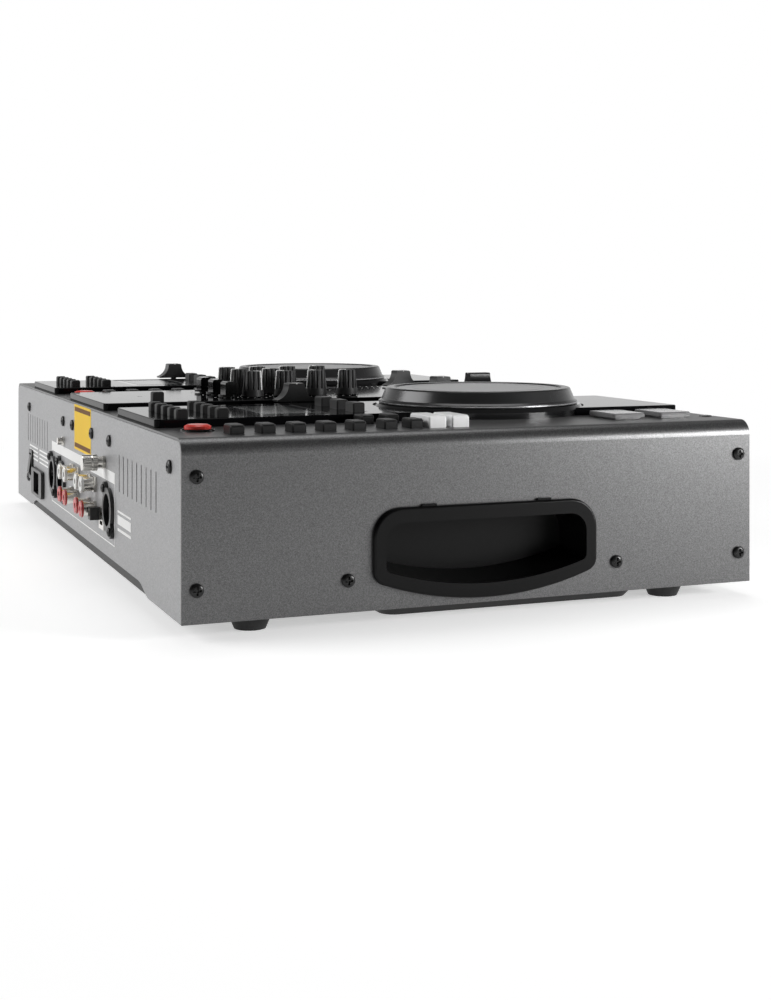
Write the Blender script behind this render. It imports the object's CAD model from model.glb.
import math

import bmesh
import bpy
import numpy as np
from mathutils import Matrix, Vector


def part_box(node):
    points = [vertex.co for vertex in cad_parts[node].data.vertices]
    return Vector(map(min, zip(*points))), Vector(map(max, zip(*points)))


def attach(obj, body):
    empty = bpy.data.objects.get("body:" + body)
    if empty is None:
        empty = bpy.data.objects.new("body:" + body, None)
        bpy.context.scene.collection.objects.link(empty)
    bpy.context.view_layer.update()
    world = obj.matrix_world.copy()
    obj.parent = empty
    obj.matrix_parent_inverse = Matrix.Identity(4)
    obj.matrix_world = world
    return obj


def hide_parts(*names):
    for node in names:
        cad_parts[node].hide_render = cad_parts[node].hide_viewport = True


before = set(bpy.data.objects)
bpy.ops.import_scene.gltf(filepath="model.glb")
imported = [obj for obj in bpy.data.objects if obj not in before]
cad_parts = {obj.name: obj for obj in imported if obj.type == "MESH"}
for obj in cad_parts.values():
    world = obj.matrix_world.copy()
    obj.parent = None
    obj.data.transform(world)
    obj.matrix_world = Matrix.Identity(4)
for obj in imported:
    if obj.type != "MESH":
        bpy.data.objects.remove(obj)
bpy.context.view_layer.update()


# ---------------------------------------------------------------------------
# Folded cover and front panel. Steel sheet under a dark metallic powder coat:
# tiny bright flakes in a grey binder, with the fine orange peel of baked powder.

BROAD_DETAIL = 5.0
GRAIN_DETAIL = 3.0
BUMP_SHARE = 0.2
LACQUER_ROUGH = 0.05


def finish(name, colour, rough, metal=0.0, specular=0.5, mottle=0.06, patch=0.03, grain=0.0,
           grain_size=0.0006, flakes=0.0, flake_size=0.0005, lacquer=0.0):
    """A surface finish in metres. The colour is mottled by a broad noise of size patch, bright
    flakes are cells of a Voronoi pattern, and the bump is a noise of size grain_size."""
    made = bpy.data.materials.new(name)
    made.use_nodes = True
    nodes, links = made.node_tree.nodes, made.node_tree.links
    shader = nodes["Principled BSDF"]
    shader.inputs["Metallic"].default_value = metal
    shader.inputs["Roughness"].default_value = rough
    shader.inputs["Specular IOR Level"].default_value = specular
    shader.inputs["Coat Weight"].default_value = lacquer
    shader.inputs["Coat Roughness"].default_value = LACQUER_ROUGH
    place = nodes.new("ShaderNodeTexCoord")
    broad = nodes.new("ShaderNodeTexNoise")
    broad.inputs["Scale"].default_value = 1.0 / patch
    broad.inputs["Detail"].default_value = BROAD_DETAIL
    links.new(place.outputs["Object"], broad.inputs["Vector"])
    tint = nodes.new("ShaderNodeMix")
    tint.data_type = "RGBA"
    tint.inputs[6].default_value = (*[c * (1 - mottle) for c in colour], 1)
    tint.inputs[7].default_value = (*[min(1.0, c * (1 + mottle)) for c in colour], 1)
    links.new(broad.outputs["Fac"], tint.inputs[0])
    last = tint.outputs[2]
    if flakes:
        cells = nodes.new("ShaderNodeTexVoronoi")
        cells.inputs["Scale"].default_value = 1.0 / flake_size
        links.new(place.outputs["Object"], cells.inputs["Vector"])
        pick = nodes.new("ShaderNodeSeparateColor")
        links.new(cells.outputs["Color"], pick.inputs[0])
        level = nodes.new("ShaderNodeMapRange")
        level.inputs["To Min"].default_value = 1.0 - flakes
        level.inputs["To Max"].default_value = 1.0 + flakes
        links.new(pick.outputs[0], level.inputs["Value"])
        bright = nodes.new("ShaderNodeVectorMath")
        bright.operation = "SCALE"
        links.new(last, bright.inputs[0])
        links.new(level.outputs["Result"], bright.inputs["Scale"])
        last = bright.outputs["Vector"]
    links.new(last, shader.inputs["Base Color"])
    if grain:
        fine = nodes.new("ShaderNodeTexNoise")
        fine.inputs["Scale"].default_value = 1.0 / grain_size
        fine.inputs["Detail"].default_value = GRAIN_DETAIL
        links.new(place.outputs["Object"], fine.inputs["Vector"])
        bump = nodes.new("ShaderNodeBump")
        bump.inputs["Strength"].default_value = grain
        bump.inputs["Distance"].default_value = grain_size * BUMP_SHARE
        links.new(fine.outputs["Fac"], bump.inputs["Height"])
        links.new(bump.outputs["Normal"], shader.inputs["Normal"])
    return made


def dress(made, *nodes):
    """Gives a finish to nodes carried over from the frame."""
    for node in nodes:
        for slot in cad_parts[node].material_slots:
            slot.material = made


case_paint = finish("case_paint", (0.135, 0.135, 0.136), 0.36, metal=0.85, mottle=0.02,
                    patch=0.12, grain=0.08, flakes=0.26, flake_size=0.00042)
dress(case_paint, "top_cover", "front_panel")


# ---------------------------------------------------------------------------
# Rear panel. Steel under the same kind of coat, lighter and less metallic. White
# marks are screen-printed on it: a heading band, a frame and plain bars. A
# yellow sticker with two brown bars is glued above them.

rear_paint = finish("rear_paint", (0.36, 0.36, 0.365), 0.46, metal=0.35, mottle=0.04, patch=0.12,
                    grain=0.3, grain_size=0.0007, flakes=0.16, flake_size=0.0006)
dress(rear_paint, "rear_panel")
print_white = finish("print_white", (0.90, 0.90, 0.89), 0.6, mottle=0.03, grain=0.1)
print_yellow = finish("print_yellow", (0.88, 0.58, 0.06), 0.6, specular=0.15, mottle=0.04,
                      grain=0.1)
print_brown = finish("print_brown", (0.16, 0.07, 0.02), 0.6, specular=0.15, grain=0.1)

MM = 0.001
MEET = 1e-7
REAR_FACE = 162.5
CASE_BOTTOM = 8.0
INK = 0.12


def link(name, data):
    """Puts an object in the scene, at the origin."""
    thing = bpy.data.objects.new(name, data)
    bpy.context.scene.collection.objects.link(thing)
    return thing


def add_piece(name, points, faces, made, body, merge=False):
    """A mesh of points in millimetres, with one finish, that rides on a body. With merge, points
    that meet become one."""
    mesh = bpy.data.meshes.new(name)
    mesh.from_pydata((MM * np.asarray(points)).reshape(-1, 3).tolist(), [], faces)
    if merge:
        shell = bmesh.new()
        shell.from_mesh(mesh)
        bmesh.ops.remove_doubles(shell, verts=shell.verts, dist=MEET)
        shell.to_mesh(mesh)
        shell.free()
    mesh.materials.append(made)
    piece = link(name, mesh)
    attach(piece, body)
    return piece


def tiles(name, boxes, made, body):
    """One mesh of thin closed blocks, each given by its lowest and highest corner: every corner
    of a block is the lowest one plus the block's size where the unit cube's corner is one."""
    corner = np.array([[x, y, z] for z in (0, 1) for x, y in ((0, 0), (1, 0), (1, 1), (0, 1))])
    side = np.array([[0, 3, 2, 1], [4, 5, 6, 7], [0, 1, 5, 4], [1, 2, 6, 5], [2, 3, 7, 6],
                     [3, 0, 4, 7]])
    boxes = np.array(boxes, float)
    low, size = boxes[:, None, :3], boxes[:, None, 3:] - boxes[:, None, :3]
    faces = (side + len(corner) * np.arange(len(boxes))[:, None, None]).reshape(-1, 4)
    add_piece(name, low + corner * size, faces.tolist(), made, body)


def rear_mark(x0, x1, z0, z1, layer=0):
    """A printed block on the rear panel: across, and up from the bottom of the case."""
    low = REAR_FACE + layer * INK
    return (x0, low, CASE_BOTTOM + z0, x1, low + INK, CASE_BOTTOM + z1)


FIELD_LEFT, FIELD_RIGHT = -116, 107
FRAME_LOW, BAND_LOW, BAND_HIGH = 14.1, 50.5, 57
FRAME_LINE = 0.7
tiles("heading_band", [rear_mark(FIELD_LEFT, FIELD_RIGHT, BAND_LOW, BAND_HIGH)],
      print_white, "console")
tiles("socket_frame", [
    rear_mark(FIELD_LEFT, FIELD_RIGHT, FRAME_LOW, FRAME_LOW + FRAME_LINE),
    rear_mark(FIELD_LEFT, FIELD_LEFT + FRAME_LINE, FRAME_LOW + FRAME_LINE, BAND_LOW),
    rear_mark(FIELD_RIGHT - FRAME_LINE, FIELD_RIGHT, FRAME_LOW + FRAME_LINE, BAND_LOW),
], print_white, "console")

BAR_HEIGHT = 1.2
FAR_BARS_X, FAR_BARS_LONG, FAR_BARS_PITCH = 124, 40, 48
FAR_BARS_Z = (44.5, 41.5, 38.5, 35.5)
NEAR_BARS_X = (-160, -124)
NEAR_BARS = ((35.6, BAR_HEIGHT), (28.8, 5.2), (25, 1.6))
tiles("rear_lines", [
    rear_mark(x, x + FAR_BARS_LONG, z, z + BAR_HEIGHT)
    for x in (FAR_BARS_X, FAR_BARS_X + FAR_BARS_PITCH) for z in FAR_BARS_Z
] + [rear_mark(*NEAR_BARS_X, z, z + high) for z, high in NEAR_BARS],
    print_white, "console")

STICKER = (-42, 16, 59.5, 89)
STICKER_EDGE = 2
STICKER_BARS, STICKER_BAR_HEIGHT = (84.6, 61.2), 2.8
tiles("rear_sticker", [rear_mark(*STICKER)], print_yellow, "console")
tiles("sticker_bars", [
    rear_mark(STICKER[0] + STICKER_EDGE, STICKER[1] - STICKER_EDGE, z, z + STICKER_BAR_HEIGHT,
              layer=1) for z in STICKER_BARS
], print_brown, "console")


# ---------------------------------------------------------------------------
# Bottom plate and feet. A black-painted sheet with a pan drawn down under the
# trays, on four tapered round feet of rubber.

bottom_black = finish("bottom_black", (0.007, 0.007, 0.0072), 0.5, mottle=0.1, grain=0.3)
dress(bottom_black, "bottom_plate")
foot_rubber = finish("foot_rubber", (0.012, 0.012, 0.012), 0.62, mottle=0.2, grain=0.5,
                     grain_size=0.0004)
dress(foot_rubber, "rubber_feet")


# ---------------------------------------------------------------------------
# Carry handles. Black moulded cups snapped into the sides, satin, with a fine
# spark-eroded texture.

handle_plastic = finish("handle_plastic", (0.0035, 0.0035, 0.0036), 0.30, specular=0.16,
                        mottle=0.12, grain=0.2, grain_size=0.0005)
dress(handle_plastic, "left_handle", "right_handle")


# ---------------------------------------------------------------------------
# Glossy plates and display windows. Piano-black acrylic with polished edges,
# printed in white beside the sliders, round the knobs and under the keys. The
# windows are the same black, smoked, over a grey display.

plate_gloss = finish("plate_gloss", (0.004, 0.004, 0.0045), 0.07, specular=0.04, mottle=0.1,
                     patch=0.2)
dress(plate_gloss, "left_deck_plate", "mixer_plate", "right_deck_plate")
window_gloss = finish("window_gloss", (0.009, 0.010, 0.012), 0.08, mottle=0.1, patch=0.1)
dress(window_gloss, "display_windows")
lcd_grey = finish("lcd_grey", (0.030, 0.034, 0.034), 0.14, patch=0.02)

SHEET_TOP = 98.0
PLATE_TOP = 102.5
TOP_INK = 0.08
TICK = 0.4
STEPS = range(-5, 6)
MAIN_STEPS = (-5, 0, 5)
MIXER_X = -11
DECKS = {"left": -158.5, "right": 158.5}


def top_mark(x, y, wide, deep, level=PLATE_TOP):
    """A printed block on a top face, by its middle and its size."""
    return (x - wide / 2, y - deep / 2, level, x + wide / 2, y + deep / 2, level + TOP_INK)


def scale(x, y, pitch, gap, long, short, level=PLATE_TOP, across=False):
    """Ticks on both sides of a slider, gap away from its middle: eleven to its travel, with the
    longer ones at the ends and in the middle."""
    marks = []
    for step in STEPS:
        length = long if step in MAIN_STEPS else short
        for side in (-1, 1):
            beside = side * (gap + length / 2)
            if across:
                marks.append(top_mark(x + pitch * step, y + beside, TICK, length, level))
            else:
                marks.append(top_mark(x + beside, y + pitch * step, length, TICK, level))
    return marks


def ring_of_dots(x, y, radius, angles, sizes):
    """Dots round a knob, at angles counted from the far side: the middle of each is radius
    times the sine and the cosine of its angle away from the knob's axis."""
    return [top_mark(x + radius * math.sin(turn), y + radius * math.cos(turn), size, size)
            for turn, size in zip(angles, sizes)]


PITCH_FADERS_X, PITCH_FADERS_Y = (-90, 227), 45
CHANNEL_FADERS_X, CHANNEL_FADERS_Y = (-56, 34), -62
CROSSFADER_Y = -115
printed = []
for x in PITCH_FADERS_X:
    printed += scale(x, PITCH_FADERS_Y, pitch=6, gap=7, long=3.6, short=2.2, level=SHEET_TOP)
for x in CHANNEL_FADERS_X:
    printed += scale(x, CHANNEL_FADERS_Y, pitch=4.5, gap=6.6, long=3.2, short=2.0)
printed += scale(MIXER_X, CROSSFADER_Y, pitch=4.5, gap=9.2, long=3.2, short=2.0, across=True)

KNOB_COLUMNS = (-42, MIXER_X, 20)
KNOB_ROWS = (57.5, 35.8, 14.1, -7.6)
MIDDLE_ROWS = 2
SELECTOR_ROW = 73.8
DOTS_RADIUS, SELECTOR_DOTS_RADIUS = 9.9, 8.6
DOT_TURNS = [math.radians(27 * step) for step in STEPS]
DOT_SIZES = [0.9 if step in MAIN_STEPS else 0.6 for step in STEPS]
SELECTOR_TURNS = (-0.52, 0, 0.52)
SELECTOR_DOT_SIZES = (0.8, 0.8, 0.8)
for x in KNOB_COLUMNS:
    for y in KNOB_ROWS[:MIDDLE_ROWS] if x == MIXER_X else KNOB_ROWS:
        printed += ring_of_dots(x, y, DOTS_RADIUS, DOT_TURNS, DOT_SIZES)
    printed += ring_of_dots(x, SELECTOR_ROW, SELECTOR_DOTS_RADIUS, SELECTOR_TURNS,
                            SELECTOR_DOT_SIZES)

SMALL_KEYS, SMALL_KEY_X, SMALL_KEY_PITCH = 5, -42.3, 15.2
SMALL_BARS_Y, SMALL_BAR_LONG = (138.8, 116.4), 6.4
PLATE_KEYS_X = (-31, -4, 23)
PLATE_BARS_Y, PLATE_BAR_LONG = 35.5, 9.0
BAR_DEEP = 0.35
for deck_x in DECKS.values():
    for column in range(SMALL_KEYS):
        x = deck_x + SMALL_KEY_X + SMALL_KEY_PITCH * column
        printed += [top_mark(x, y, SMALL_BAR_LONG, BAR_DEEP) for y in SMALL_BARS_Y]
    printed += [top_mark(deck_x + x, PLATE_BARS_Y, PLATE_BAR_LONG, BAR_DEEP)
                for x in PLATE_KEYS_X]
tiles("scale_marks", printed, print_white, "console")

DISPLAYS_X = (-156.5, 160.5)
GLASS_HALF, GLASS_NEAR, GLASS_FAR = 31, 64.5, 94.5
GLASS_LOW, GLASS_TOP = 102.3, 102.38
tiles("display_glass", [
    (x - GLASS_HALF, GLASS_NEAR, GLASS_LOW, x + GLASS_HALF, GLASS_FAR, GLASS_TOP)
    for x in DISPLAYS_X
], lcd_grey, "console")


# ---------------------------------------------------------------------------
# Jog wheels. Satin dark grey mouldings on a black base ring. A thin skin of
# matt metal lies on the touch disc, and a bright lip runs round the skirt.

jog_satin = finish("jog_satin", (0.05, 0.05, 0.051), 0.24, metal=0.55, mottle=0.05, patch=0.02,
                   grain=0.15, grain_size=0.0005)
dress(jog_satin, "left_jog_wheel", "right_jog_wheel")
base_gloss = finish("base_gloss", (0.012, 0.012, 0.0125), 0.12, metal=0.2, mottle=0.08)
dress(base_gloss, "jog_bases")
rim_bright = finish("rim_bright", (0.42, 0.42, 0.425), 0.24, metal=0.9, mottle=0.05, patch=0.01)
touch_skin = finish("touch_skin", (0.30, 0.30, 0.303), 0.30, metal=0.6, mottle=0.05, grain=0.4,
                    grain_size=0.0004)

JOG_Y = -49
JOG_FOOT = 104.0
DISC_TOP = 112.4
SKIN_RADIUS = 48.0
SKIN_PROUD = 0.25
GROOVE_OUTER, GROOVE_INNER, GROOVE_FLOOR, GROOVE_SLOPE = 40.5, 39.3, 0.1, 0.3
LIP_INNER, LIP_OUTER, LIP_FOOT, LIP_HEIGHT = 59.3, 59.9, 0.2, 0.8


def surface(name, grids, made, body, ring=False):
    """One mesh from equal grids of points, each rows by columns, that turn left-handed seen from
    outside. Every cell is a quad, the last column joins the first, and with ring so do the rows.
    Points that meet, as at a pole, become one."""
    grids = np.asarray(grids, float)
    grids = grids.reshape((-1,) + grids.shape[-3:])
    index = np.arange(grids[..., 0].size).reshape(grids.shape[:3])
    if ring:
        index = np.concatenate([index, index[:, :1]], axis=1)
    beside = np.roll(index, -1, axis=2)
    quads = np.stack([index[:, :-1], beside[:, :-1], beside[:, 1:], index[:, 1:]], axis=-1)
    return add_piece(name, grids, quads.reshape(-1, 4).tolist(), made, body, merge=True)


def turned(profile, centre, base, steps=96):
    """A body of revolution: each radius and height of the profile is carried round a vertical
    axis through centre, with heights counted from base. The profile runs inwards over the
    top."""
    profile = np.array(profile, float)
    angle = np.linspace(0, 2 * math.pi, steps, endpoint=False)
    points = np.empty((len(profile), steps, 3))
    points[..., 0] = centre[0] + profile[:, :1] * np.cos(angle)
    points[..., 1] = centre[1] + profile[:, :1] * np.sin(angle)
    points[..., 2] = base + profile[:, 1:2]
    return points


for side, deck_x in DECKS.items():
    surface(f"{side}_touch_skin", turned([
        (0, -0.2), (SKIN_RADIUS, -0.2), (SKIN_RADIUS, GROOVE_FLOOR),
        (SKIN_RADIUS - GROOVE_SLOPE, SKIN_PROUD), (GROOVE_OUTER, SKIN_PROUD),
        (GROOVE_OUTER - GROOVE_SLOPE, GROOVE_FLOOR), (GROOVE_INNER + GROOVE_SLOPE, GROOVE_FLOOR),
        (GROOVE_INNER, SKIN_PROUD), (0, SKIN_PROUD),
    ], (deck_x, JOG_Y), DISC_TOP), touch_skin, f"{side}_jog_wheel")
    surface(f"{side}_jog_lip", turned([
        (LIP_INNER, 0), (LIP_OUTER - 0.2, 0), (LIP_OUTER, 0.2), (LIP_OUTER, LIP_HEIGHT - 0.2),
        (LIP_OUTER - 0.2, LIP_HEIGHT), (LIP_INNER, LIP_HEIGHT),
    ], (deck_x, JOG_Y), JOG_FOOT + LIP_FOOT, 128), rim_bright, f"{side}_jog_wheel",
        ring=True)


# ---------------------------------------------------------------------------
# Keys and buttons. Silicone rubber caps, satin and a little dusty, and moulded
# pads. Each deck has frosted white caps and a clear red one in a glossy collar.

key_rubber = finish("key_rubber", (0.010, 0.010, 0.0102), 0.40, specular=0.3, mottle=0.1,
                    patch=0.006, grain=0.3, grain_size=0.0005)
dress(key_rubber, "left_side_keys", "right_side_keys", "left_deck_keys", "right_deck_keys",
      "mixer_button")
pad_satin = finish("pad_satin", (0.19, 0.19, 0.192), 0.14, patch=0.01, grain=0.12,
                   grain_size=0.0005)
dress(pad_satin, "left_pads", "right_pads")
frosted = finish("frosted_white", (0.93, 0.935, 0.94), 0.34, mottle=0.02, grain=0.1)
FROST_WEIGHT, FROST_DEPTH = 0.8, 0.008
frosted_shader = frosted.node_tree.nodes["Principled BSDF"]
frosted_shader.inputs["Subsurface Weight"].default_value = FROST_WEIGHT
frosted_shader.inputs["Subsurface Radius"].default_value = (FROST_DEPTH,) * 3
dress(frosted, "left_white_keys", "right_white_keys")
clear_red = finish("clear_red", (0.80, 0.045, 0.03), 0.25, mottle=0.04)
dress(clear_red, "left_red_button", "right_red_button")
collar_gloss = finish("collar_gloss", (0.006, 0.006, 0.006), 0.08, mottle=0.1)

BUTTON_OFFSET, BUTTON_Y = -72, 143
COLLAR_RADIUS, COLLAR_BORE, COLLAR_HEIGHT = 9.0, 7.5, 1.2
for side, deck_x in DECKS.items():
    surface(f"{side}_button_collar", turned([
        (COLLAR_RADIUS, 0), (COLLAR_RADIUS - 0.1, COLLAR_HEIGHT - 0.5),
        (COLLAR_RADIUS - 0.5, COLLAR_HEIGHT), (COLLAR_BORE + 0.4, COLLAR_HEIGHT),
        (COLLAR_BORE + 0.1, COLLAR_HEIGHT - 0.3), (COLLAR_BORE, 0),
    ], (deck_x + BUTTON_OFFSET, BUTTON_Y), SHEET_TOP, 64), collar_gloss, "console",
        ring=True)

PLUG_PLACE = (-240, -156.5)
LENS_PLACE = (MIXER_X, 125)
surface("sheet_plug", turned([
    (0, 0), (3.8, 0), (3.7, 0.3), (3.2, 0.6), (1.2, 0.8), (0, 0.8),
], PLUG_PLACE, SHEET_TOP, 40), collar_gloss, "console")
surface("mixer_lens", turned([
    (0, -1.3), (1.5, -1.3), (1.5, -0.6), (1.2, -0.2), (0.6, 0), (0, 0),
], LENS_PLACE, PLATE_TOP, 24), collar_gloss, "console")


# ---------------------------------------------------------------------------
# Knobs, selectors and sliders. Black mouldings, matt on the knobs and glossy on
# the selectors. Each knob and slider cap carries an inlaid white line.

KNOBS = [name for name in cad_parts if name.endswith("_knob")]
SELECTORS = [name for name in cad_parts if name.endswith("_selector")]
# The way that each slider cap's line runs: 0 is from side to side, 1 from front to back
FADER_LINE_AXIS = {"left_pitch_fader": 0, "right_pitch_fader": 0, "left_channel_fader": 0,
                   "right_channel_fader": 0, "crossfader": 1}
cap_satin = finish("cap_satin", (0.010, 0.010, 0.0103), 0.30, specular=0.3, mottle=0.08,
                   patch=0.004, grain=0.25, grain_size=0.0004)
dress(cap_satin, *FADER_LINE_AXIS)
knob_matt = finish("knob_matt", (0.013, 0.013, 0.0135), 0.52, mottle=0.08, patch=0.004,
                   grain=0.2, grain_size=0.0004)
dress(knob_matt, *KNOBS)
selector_gloss = finish("selector_gloss", (0.006, 0.006, 0.0063), 0.14, mottle=0.08,
                        patch=0.004)
dress(selector_gloss, *SELECTORS)
line_white = finish("line_white", (0.88, 0.88, 0.87), 0.45, mottle=0.02, grain=0.05)

KNOB_LOW, KNOB_HIGH = 98.6, 119.3
KNOB_FOOT_RADIUS, KNOB_CROWN_RADIUS = 7.0, 5.5
SKIRT_HEIGHT = 4.8
SKIRT_TOP = KNOB_LOW + SKIRT_HEIGHT
SKIRT_RADIUS = KNOB_FOOT_RADIUS - (
    (KNOB_FOOT_RADIUS - KNOB_CROWN_RADIUS) * SKIRT_HEIGHT / (KNOB_HIGH - KNOB_LOW))
LINE_HALF = 0.8
LINE_PROUD = 0.3
TURNED_UP = {"left_channel_gain_knob": math.radians(135)}


def pointer_line(name, centre, turn, body):
    """A ribbon carried along a path: from the middle of the crown to its edge and down the
    flank to the skirt, and a little proud of both. Its points are the centre plus the path's
    reach along the pointer, and half the ribbon's width to each side of it."""
    path = np.array([
        (LINE_HALF, KNOB_HIGH + LINE_PROUD),
        (KNOB_CROWN_RADIUS - 0.2, KNOB_HIGH + LINE_PROUD),
        (KNOB_CROWN_RADIUS + LINE_PROUD, KNOB_HIGH - 0.5),
        (SKIRT_RADIUS + LINE_PROUD, SKIRT_TOP), (SKIRT_RADIUS - 0.8, SKIRT_TOP),
        (KNOB_CROWN_RADIUS - 1.0, KNOB_HIGH - 1.2), (LINE_HALF, KNOB_HIGH - 0.8),
    ])
    half = np.array([-LINE_HALF, LINE_HALF])
    out = np.array([-math.sin(turn), math.cos(turn)])
    side = np.array([out[1], -out[0]])
    points = np.empty((2, len(path), 3))
    points[..., 0] = centre[0] + out[0] * path[:, 0] + side[0] * half[:, None]
    points[..., 1] = centre[1] + out[1] * path[:, 0] + side[1] * half[:, None]
    points[..., 2] = path[:, 1]
    count = len(path)
    faces = [[k, (k + 1) % count, (k + 1) % count + count, k + count] for k in range(count)]
    faces += [list(range(count))[::-1], list(range(count, 2 * count))]
    add_piece(name, points, faces, line_white, body)


def box_mm(node):
    """A node's lowest and highest corner at rest."""
    return [np.array(corner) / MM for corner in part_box(node)]


for knob in KNOBS:
    low, high = box_mm(knob)
    pointer_line(f"{knob}_line", (low + high) / 2, TURNED_UP.get(knob, 0.0), knob)

FADER_LINE_HALF = 0.43
FADER_LINE_TOP, FADER_LINE_LOW, FADER_LINE_END = 0.04, 0.40, 0.03
for fader, across in FADER_LINE_AXIS.items():
    low, high = box_mm(fader)
    middle = (low + high) / 2
    half = [FADER_LINE_HALF, FADER_LINE_HALF]
    half[across] = (high[across] - low[across]) / 2 - FADER_LINE_END
    tiles(f"{fader}_line", [(
        middle[0] - half[0], middle[1] - half[1], high[2] - FADER_LINE_LOW,
        middle[0] + half[0], middle[1] + half[1], high[2] - FADER_LINE_TOP,
    )], line_white, fader)


# ---------------------------------------------------------------------------
# Rear sockets. Black round sockets, nickel-plated phono barrels with white and
# red insulators, a knurled ground nut, a mains inlet and its switch.

socket_black = finish("socket_black", (0.012, 0.012, 0.012), 0.34, mottle=0.1, grain=0.15)
dress(socket_black, "xlr_sockets", "mains_inlet", "power_rocker", "headphone_socket")
nickel = finish("nickel", (0.72, 0.70, 0.66), 0.18, metal=1.0, mottle=0.04, patch=0.004)
dress(nickel, "rca_sockets", "rear_ports")
knurled = finish("knurled", (0.50, 0.49, 0.46), 0.30, metal=1.0, patch=0.003)
insulator_white = finish("insulator_white", (0.82, 0.82, 0.80), 0.35, mottle=0.03)
insulator_red = finish("insulator_red", (0.60, 0.05, 0.05), 0.35, mottle=0.03)


def rear_turned(profile, x, z, steps=40):
    """A body of revolution about an axis along Y: each radius and reach of the profile is
    carried round it, with reach counted out from the rear panel. The profile runs inwards over
    the end."""
    profile = np.array(profile, float)
    angle = np.linspace(0, 2 * math.pi, steps, endpoint=False)
    points = np.empty((len(profile), steps, 3))
    points[..., 0] = x - profile[:, :1] * np.cos(angle)
    points[..., 1] = REAR_FACE + profile[:, 1:2]
    points[..., 2] = z + profile[:, :1] * np.sin(angle)
    return points


def knurl(profile, x, z, teeth, depth, steps):
    """A turned body whose radius falls by depth between its teeth, as a cosine of teeth times
    the angle. The profile's third number is its share of the knurl, and where that is nothing
    the body stays round."""
    shape = np.array(profile, float)
    points = rear_turned(shape[:, :2], x, z, steps)
    angle = np.linspace(0, 2 * math.pi, steps, endpoint=False)
    radius = np.where(shape[:, :1] > 0, shape[:, :1], 1.0)
    pull = 1 - depth * shape[:, 2:3] * (0.5 - 0.5 * np.cos(teeth * angle)) / radius
    points[..., 0] = x + (points[..., 0] - x) * pull
    points[..., 2] = z + (points[..., 2] - z) * pull
    return points


NUT_PLACE = (-86, 68.5)
NUT_TEETH, NUT_TOOTH_DEPTH, NUT_STEPS = 28, 0.5, 168
surface("ground_nut", knurl([
    (0, 0.1, 0), (3.8, 0.1, 0), (3.8, 1.8, 0), (3.1, 2.2, 0), (3.1, 4.4, 0), (4.7, 4.8, 0),
    (4.9, 5.2, 1), (4.9, 7.5, 1), (4.5, 7.8, 0), (4.5, 8.4, 0), (4.9, 8.7, 1), (4.9, 13.0, 1),
    (4.5, 13.6, 0), (2.4, 13.8, 0), (2.2, 13.2, 0), (0, 13.2, 0),
], *NUT_PLACE, NUT_TEETH, NUT_TOOTH_DEPTH, NUT_STEPS), knurled, "console")

SHELL_LEFT, SHELL_RIGHT, SHELL_LOW, SHELL_HIGH = -69.4, -62.6, 31.8, 39.4
SHELL_WALL, RIM_HIGH, RIM_WIDE, RIM_HALF = 0.2, 2.0, 1.6, 0.1
SHELL_END = REAR_FACE + 5.6
RIM_NEAR, RIM_FAR = SHELL_END - RIM_HALF, SHELL_END + RIM_HALF
tiles("small_socket_shell", [
    (SHELL_LEFT, REAR_FACE, SHELL_LOW, SHELL_LEFT + SHELL_WALL, SHELL_END, SHELL_HIGH),
    (SHELL_RIGHT - SHELL_WALL, REAR_FACE, SHELL_LOW, SHELL_RIGHT, SHELL_END, SHELL_HIGH),
    (SHELL_LEFT, REAR_FACE, SHELL_HIGH - SHELL_WALL, SHELL_RIGHT, SHELL_END, SHELL_HIGH),
    (SHELL_LEFT, REAR_FACE, SHELL_LOW, SHELL_RIGHT, SHELL_END, SHELL_LOW + SHELL_WALL),
    (SHELL_LEFT, RIM_NEAR, SHELL_HIGH - RIM_HIGH, SHELL_RIGHT, RIM_FAR, SHELL_HIGH),
    (SHELL_LEFT, RIM_NEAR, SHELL_LOW, SHELL_RIGHT, RIM_FAR, SHELL_LOW + RIM_HIGH),
    (SHELL_LEFT, RIM_NEAR, SHELL_LOW + RIM_HIGH,
     SHELL_LEFT + RIM_WIDE, RIM_FAR, SHELL_HIGH - RIM_HIGH),
    (SHELL_RIGHT - RIM_WIDE, RIM_NEAR, SHELL_LOW + RIM_HIGH,
     SHELL_RIGHT, RIM_FAR, SHELL_HIGH - RIM_HIGH),
], socket_black, "console")

PHONO_COLUMNS = (21, 2, -39, -57)
PHONO_ROWS = ((52.3, insulator_white), (37.3, insulator_red))
for row, (height, made) in enumerate(PHONO_ROWS):
    surface(f"phono_rings_{row}", [rear_turned([
        (4.6, 7.9), (5.1, 8.0), (5.15, 9.2), (4.6, 9.7), (2.2, 9.7), (1.9, 9.5), (1.9, 7.9),
    ], x, height) for x in PHONO_COLUMNS], made, "console", ring=True)


# ---------------------------------------------------------------------------
# Case screws. Black pan-head screws with a cross recess. They close the case at
# its sides and rear, and two small ones hold each round socket.

screw_black = finish("screw_black", (0.012, 0.012, 0.012), 0.28, metal=0.4, mottle=0.1, grain=0.1)

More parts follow.
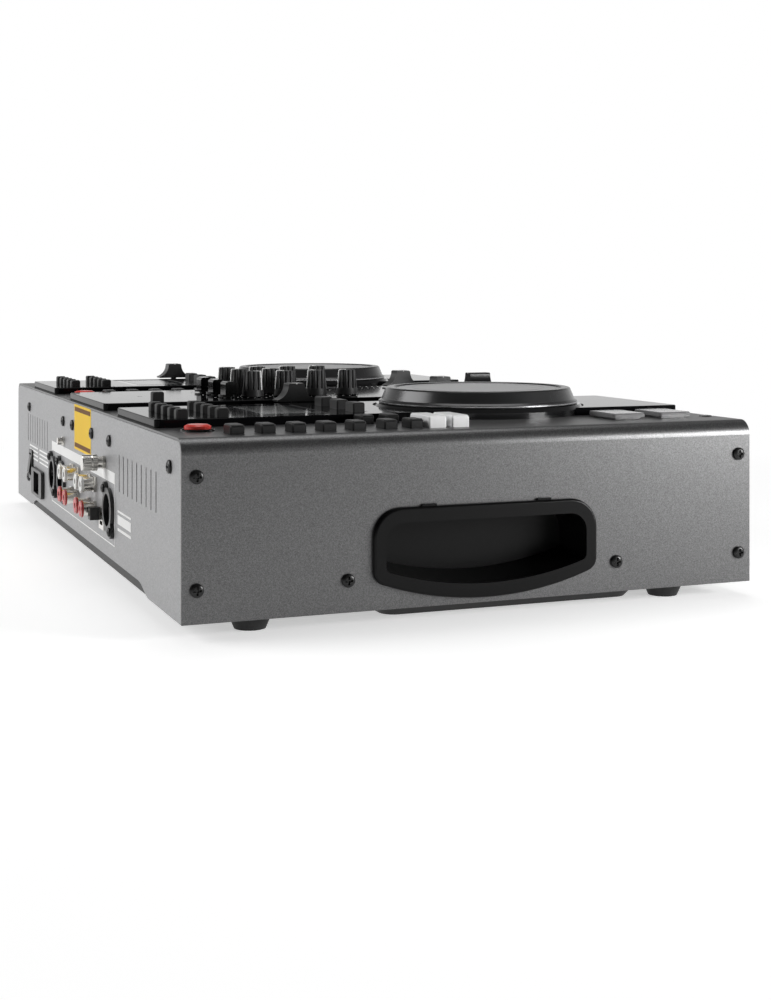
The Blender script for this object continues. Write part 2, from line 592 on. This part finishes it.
SIDE_FACE = 275
HEAD_RADIUS, HEAD_HEIGHT = 3.5, 1.9
EAR_RADIUS, EAR_HEIGHT, EAR_FACE = 2.6, 1.4, REAR_FACE + 2.2
EAR_X, EAR_Z = 9.23, 11.82
ROUND_SOCKETS_X, ROUND_SOCKETS_Z = (-101.5, 62, 97), 42
SIDE_PLACES = ((155, 79.5), (-155, 79.5), (155, 24.5), (-155, 24.5), (77, 24.2), (-77, 24.2))
REAR_PLACES = ((212, 82.5), (58, 82.5), (22, 82.5), (-46, 82.5), (-101, 82.5), (-252, 82.5),
               (215, 28))
SCREWS = [(side, y, z, HEAD_RADIUS, HEAD_HEIGHT, SIDE_FACE)
          for side in DECKS for y, z in SIDE_PLACES]
SCREWS += [("rear", x, z, HEAD_RADIUS, HEAD_HEIGHT, REAR_FACE) for x, z in REAR_PLACES]
SCREWS += [("rear", x + s * EAR_X, ROUND_SOCKETS_Z + s * EAR_Z, EAR_RADIUS, EAR_HEIGHT, EAR_FACE)
           for x in ROUND_SOCKETS_X for s in (-1, 1)]
FACING = {
    "left": ((0, -1, 0), (-1, 0, 0)), "right": ((0, 1, 0), (1, 0, 0)),
    "rear": ((-1, 0, 0), (0, 1, 0)),
}
HEAD_RINGS = (0, 1.0, 1.0, 0.985, 0.94, 0.85, 0.74, 0.64, 0.56, 0.49, 0.43, 0.37, 0.31, 0.25,
              0.20, 0.15, 0.10, 0.05, 0)
HEAD_STEPS = 64
HEAD_FALL, HEAD_RIM = 0.45, 0.30
RECESS_DEPTH, RECESS_HALF, RECESS_REACH = 0.62, 0.145, 0.60
RECESS_SIDE, RECESS_END = 0.03, 0.10


def screw_head(face, across, z, radius, height, wall):
    """A pan head with a cross recess. The crown falls with the fourth power of the radius, and
    the recess is as deep as the wider of two crossed bars lets it be, with sloping ends."""
    reach = radius * np.array(HEAD_RINGS)[:, None]
    angle = np.linspace(0, 2 * math.pi, HEAD_STEPS, endpoint=False)[None]
    u, v = reach * np.cos(angle), reach * np.sin(angle)
    crown = height * (1 - HEAD_FALL * (reach / radius) ** 4) * np.ones_like(u)
    near = np.minimum(np.abs(u), np.abs(v)) / radius
    bars = np.clip((RECESS_HALF - near) / RECESS_SIDE, 0, 1)
    bars = bars * np.clip((RECESS_REACH - reach / radius) / RECESS_END, 0, 1)
    lift = crown - RECESS_DEPTH * height * bars
    lift[:2] = 0
    lift[2] = HEAD_RIM * height
    turn, out = np.array(FACING[face])
    centre = np.array([across, 0, z]) if face == "rear" else np.array([0, across, z])
    up = np.array([0, 0, 1])
    return centre + wall * out + u[..., None] * turn + v[..., None] * up + lift[..., None] * out


heads = surface("screw_heads", [screw_head(*screw) for screw in SCREWS], screw_black, "console")
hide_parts("case_screws")


# ---------------------------------------------------------------------------
# Inside the case. Lacquered circuit boards, controls in zinc-plated cans, the
# supply, black moulded drives and trays, acetal gears and turned spindles.

board = finish("board", (0.02, 0.10, 0.05), 0.4, mottle=0.2, patch=0.004, lacquer=0.3)
dress(board, "circuit_boards")
zinc = finish("zinc", (0.42, 0.42, 0.43), 0.38, metal=0.9, mottle=0.18, patch=0.008, grain=0.15)
dress(zinc, "potentiometers")
core = finish("core", (0.05, 0.045, 0.04), 0.5, mottle=0.2, patch=0.006)
dress(core, "power_supply")
moulded_black = finish("moulded_black", (0.015, 0.015, 0.015), 0.45, mottle=0.1, grain=0.2)
dress(moulded_black, "drive_bases", "left_tray", "right_tray")
acetal = finish("acetal", (0.78, 0.77, 0.72), 0.4, mottle=0.04)
dress(acetal, "left_tray_gear", "right_tray_gear")
spindle_metal = finish("spindle_metal", (0.6, 0.6, 0.6), 0.3, metal=1.0, mottle=0.05)
dress(spindle_metal, "left_spindle", "right_spindle")


# ---------------------------------------------------------------------------
# Studio table. White paper that fades to pure white where the camera, gloss and
# clear pieces see it far from the object, so that no horizon shows.

PAPER = (0.80, 0.80, 0.80, 1)
PAPER_GLOW = 0.50
FADE_START, FADE_END = 0.40, 0.75
TABLE_HALF = 6.0


def add_node(tree, kind, *feeds, operation=None):
    """A node whose inputs take, in order, the sockets or the values given."""
    made = tree.nodes.new(kind)
    if operation:
        made.operation = operation
    for socket, feed in zip(made.inputs, feeds):
        if isinstance(feed, bpy.types.NodeSocket):
            tree.links.new(feed, socket)
        else:
            socket.default_value = feed
    return made


table = bpy.data.materials.new("table_white")
table.use_nodes = True
tree = table.node_tree
tree.nodes.clear()
seen = tree.nodes.new("ShaderNodeLightPath")
either = add_node(tree, "ShaderNodeMath", seen.outputs["Is Camera Ray"],
                  seen.outputs["Is Glossy Ray"], operation="MAXIMUM")
direct = add_node(tree, "ShaderNodeMath", either.outputs[0],
                  seen.outputs["Is Transmission Ray"], operation="MAXIMUM")
share = add_node(tree, "ShaderNodeMath", direct.outputs[0], PAPER_GLOW, operation="MULTIPLY")
paper = add_node(tree, "ShaderNodeBsdfDiffuse", PAPER)
glow = tree.nodes.new("ShaderNodeEmission")
tree.links.new(share.outputs[0], glow.inputs["Strength"])
both = add_node(tree, "ShaderNodeAddShader", paper.outputs[0], glow.outputs[0])
spot = tree.nodes.new("ShaderNodeTexCoord")
away = add_node(tree, "ShaderNodeVectorMath", spot.outputs["Object"], operation="LENGTH")
fade = add_node(tree, "ShaderNodeMapRange", away.outputs["Value"], FADE_START, FADE_END)
far = add_node(tree, "ShaderNodeMath", fade.outputs["Result"], direct.outputs[0],
               operation="MULTIPLY")
white = tree.nodes.new("ShaderNodeEmission")
blend = add_node(tree, "ShaderNodeMixShader", far.outputs[0], both.outputs[0], white.outputs[0])
add_node(tree, "ShaderNodeOutputMaterial", blend.outputs[0])

mesh = bpy.data.meshes.new("table")
mesh.from_pydata([(x * TABLE_HALF, y * TABLE_HALF, 0) for x, y in
                  ((-1, -1), (1, -1), (1, 1), (-1, 1))], [], [(0, 1, 2, 3)])
mesh.materials.append(table)
floor = link("table", mesh)


# ---------------------------------------------------------------------------
# Studio light. White walls at the height of the horizon, dark overhead and on
# the side of the left rear corner. One broad lamp stands behind and one hangs
# above, and a small low one is near the left front corner.

SKY_STRENGTH = 0.9
RISE_LIGHT, RISE_DARK = (0.10, 1.0), (0.45, 0.12)
WALLS_DARK, WALLS_LIGHT = (0.09, 0.10), (0.42, 1.0)
WALLS_BETWEEN = ((0.14, 0.20), (0.225, 0.62))
LIT_SIDE = (0.465, -0.184, 0)


def grey(level):
    """A colour of equal red, green and blue."""
    return (level, level, level, 1)


world = bpy.data.worlds.new("studio")
bpy.context.scene.world = world
world.use_nodes = True
tree = world.node_tree
tree.nodes.clear()
place = tree.nodes.new("ShaderNodeTexCoord")
split = add_node(tree, "ShaderNodeSeparateXYZ", place.outputs["Generated"])
rise = add_node(tree, "ShaderNodeValToRGB", split.outputs["Z"])
for stop, (position, level) in zip(rise.color_ramp.elements, (RISE_LIGHT, RISE_DARK)):
    stop.position, stop.color = position, grey(level)
facing = add_node(tree, "ShaderNodeVectorMath", place.outputs["Generated"], LIT_SIDE,
                  operation="DOT_PRODUCT")
shift = add_node(tree, "ShaderNodeMath", facing.outputs["Value"], 0.5)
walls = add_node(tree, "ShaderNodeValToRGB", shift.outputs[0])
for stop, (position, level) in zip(walls.color_ramp.elements, (WALLS_DARK, WALLS_LIGHT)):
    stop.position, stop.color = position, grey(level)
for position, level in WALLS_BETWEEN:
    walls.color_ramp.elements.new(position).color = grey(level)
tone = add_node(tree, "ShaderNodeVectorMath", rise.outputs["Color"], walls.outputs["Color"],
                operation="MULTIPLY")
sky = add_node(tree, "ShaderNodeBackground", tone.outputs["Vector"], SKY_STRENGTH)
plain = add_node(tree, "ShaderNodeBackground", grey(1.0), 1.0)
seen = tree.nodes.new("ShaderNodeLightPath")
pick = add_node(tree, "ShaderNodeMixShader", seen.outputs["Is Camera Ray"], sky.outputs[0],
                plain.outputs[0])
add_node(tree, "ShaderNodeOutputWorld", pick.outputs[0])


def soft_lamp(name, place, aim, size, watts):
    """A rectangular soft lamp at place, turned to look at aim."""
    lamp = bpy.data.lights.new(name, "AREA")
    lamp.shape = "RECTANGLE"
    lamp.size, lamp.size_y = size
    lamp.energy = watts
    thing = link(name, lamp)
    thing.location = place
    away = np.array(aim, float) - np.array(place, float)
    yaw = math.atan2(away[1], away[0]) - math.pi / 2
    pitch = math.atan2(away[2], math.hypot(away[0], away[1])) + math.pi / 2
    thing.rotation_euler = (pitch, 0, yaw)


soft_lamp("rear_lamp", place=(0.6, 1.7, 0.9), aim=(0, 0.1, 0.05), size=(1.4, 0.9), watts=22)
soft_lamp("front_lamp", place=(-0.75, -0.60, 0.22), aim=(-0.27, -0.16, 0.08), size=(0.35, 0.20),
          watts=5.5)
soft_lamp("top_lamp", place=(0.4, -0.3, 2.0), aim=(0, 0, 0), size=(1.2, 1.2), watts=10)


# ---------------------------------------------------------------------------
# Camera. On a level stand beside the left rear corner, a little above the
# case, with the lens shifted down to frame it.

SENSOR, LENS, LENS_SHIFT, CLIP = 36, 54.86, -0.1983, 0.01
EYE = (-0.99448, 0.34043, 0.16435)
LOOK = -21.519

camera = bpy.data.cameras.new("camera")
camera.sensor_width = SENSOR
camera.lens = LENS
camera.shift_y = LENS_SHIFT
camera.clip_start = CLIP
viewer = link("camera", camera)
viewer.location = EYE
viewer.rotation_euler = (math.radians(90), 0, math.radians(LOOK - 90))
bpy.context.scene.camera = viewer
bpy.context.scene.view_settings.view_transform = "Standard"
